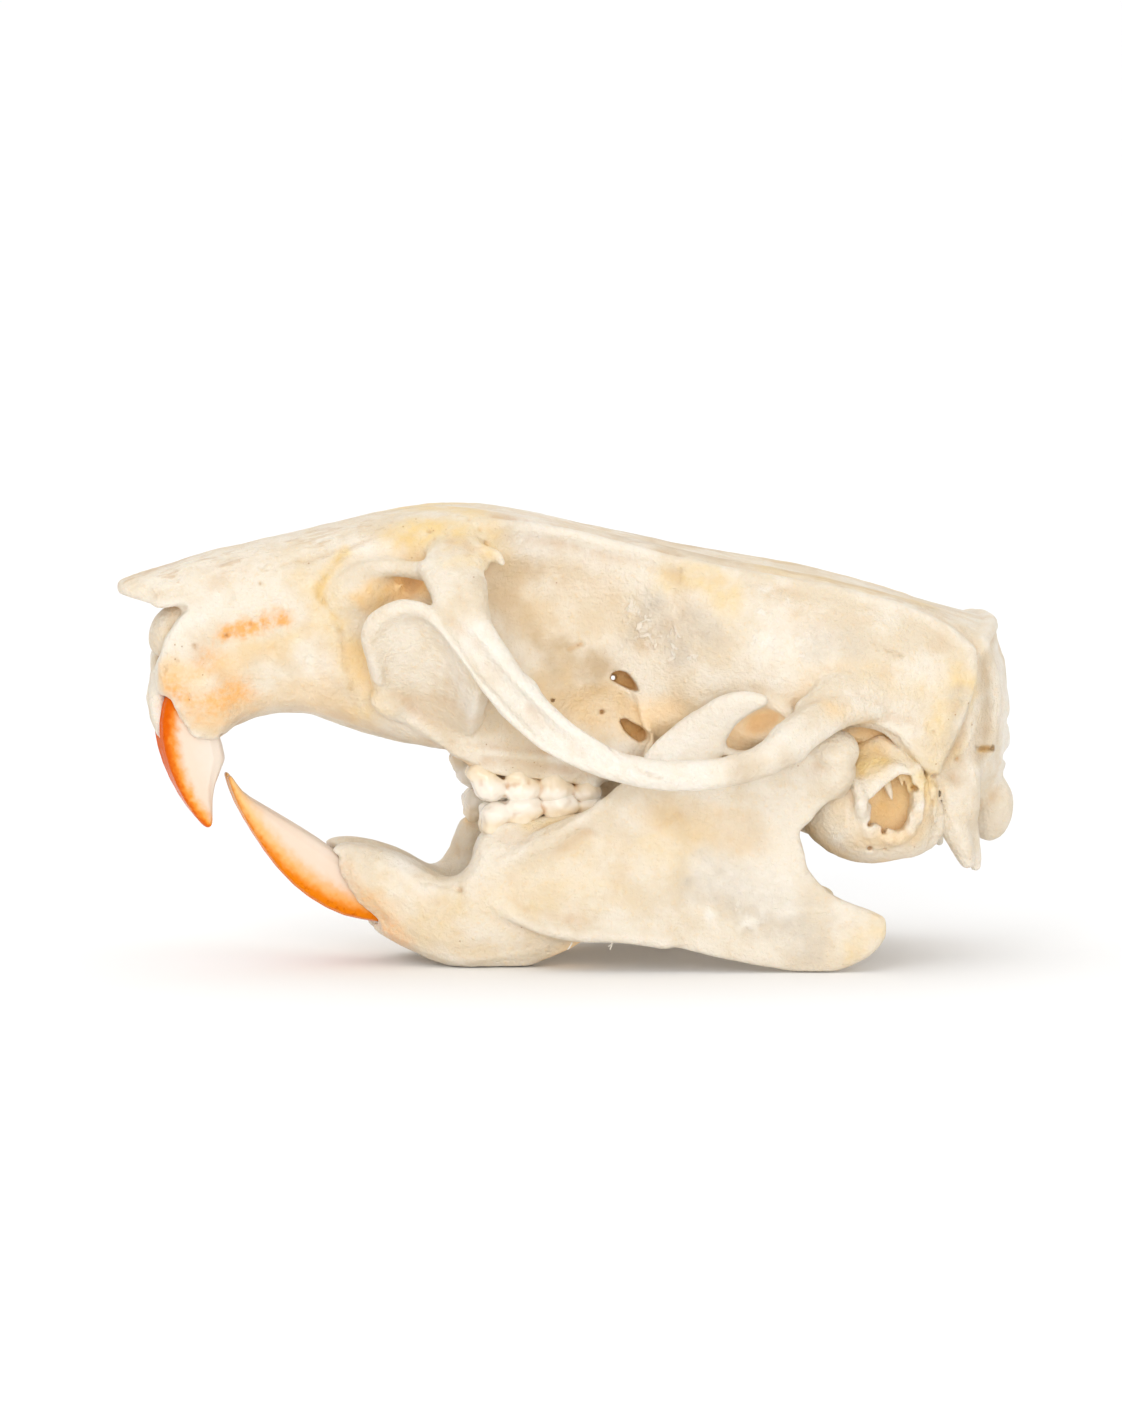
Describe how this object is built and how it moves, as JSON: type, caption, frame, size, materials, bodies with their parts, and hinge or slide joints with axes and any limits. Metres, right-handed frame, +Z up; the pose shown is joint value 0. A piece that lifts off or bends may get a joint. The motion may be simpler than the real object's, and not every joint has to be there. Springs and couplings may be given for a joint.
{
  "type": "rat skull",
  "caption": "Life-size skull of an adult brown rat with lower jaw in place, long curved incisors, open cheek arches and ear capsules, resting on its jaw as a display specimen.",
  "frame": {"origin": "centre of the bounding box at floor level", "axes": "+X towards the back of the head, nose towards -X, +Y towards the skull's right side, +Z up"},
  "size_m": [0.0449, 0.0234, 0.0228],
  "materials": {
    "bone": "satin, warm cream bone with faint stains",
    "incisor_enamel": "glossy orange enamel on the front, cream dentine behind"
  },
  "bodies": {
    "root": {"cranium": "bone", "zygomatic_arch_left": "bone", "zygomatic_arch_right": "bone", "auditory_bulla_left": "bone", "auditory_bulla_right": "bone", "mandible_left": "bone", "mandible_right": "bone", "upper_incisor_left": "incisor_enamel", "upper_incisor_right": "incisor_enamel", "lower_incisor_left": "incisor_enamel", "lower_incisor_right": "incisor_enamel"}
  },
  "joints": []
}
